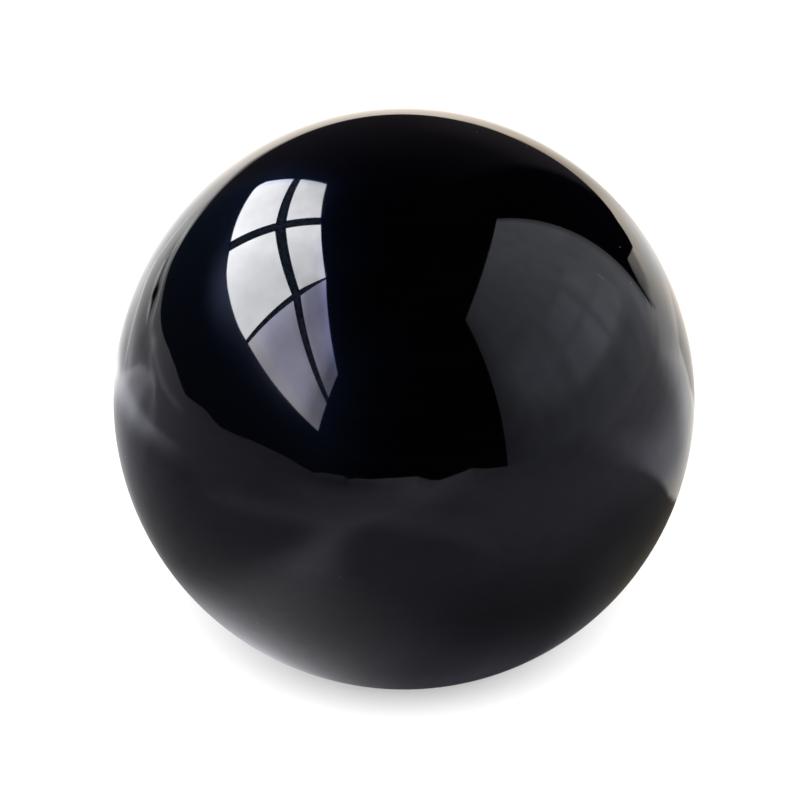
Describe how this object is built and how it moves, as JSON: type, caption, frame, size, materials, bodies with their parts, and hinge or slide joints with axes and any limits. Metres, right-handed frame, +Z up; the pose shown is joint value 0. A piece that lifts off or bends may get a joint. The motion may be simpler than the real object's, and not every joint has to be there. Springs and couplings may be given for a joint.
{
  "type": "polished obsidian sphere",
  "caption": "Solid polished sphere of black volcanic glass, with a small flat ground on its underside so that it stands without a holder.",
  "frame": {"origin": "centre of the small ground flat, on the surface that the sphere stands on", "axes": "+Z up through the sphere's centre, +Y away from the viewer of the picture, +X to that viewer's right"},
  "size_m": [0.06, 0.06, 0.0596],
  "materials": {
    "obsidian": "mirror-polished black volcanic glass"
  },
  "bodies": {
    "root": {"sphere": "obsidian"}
  },
  "joints": []
}
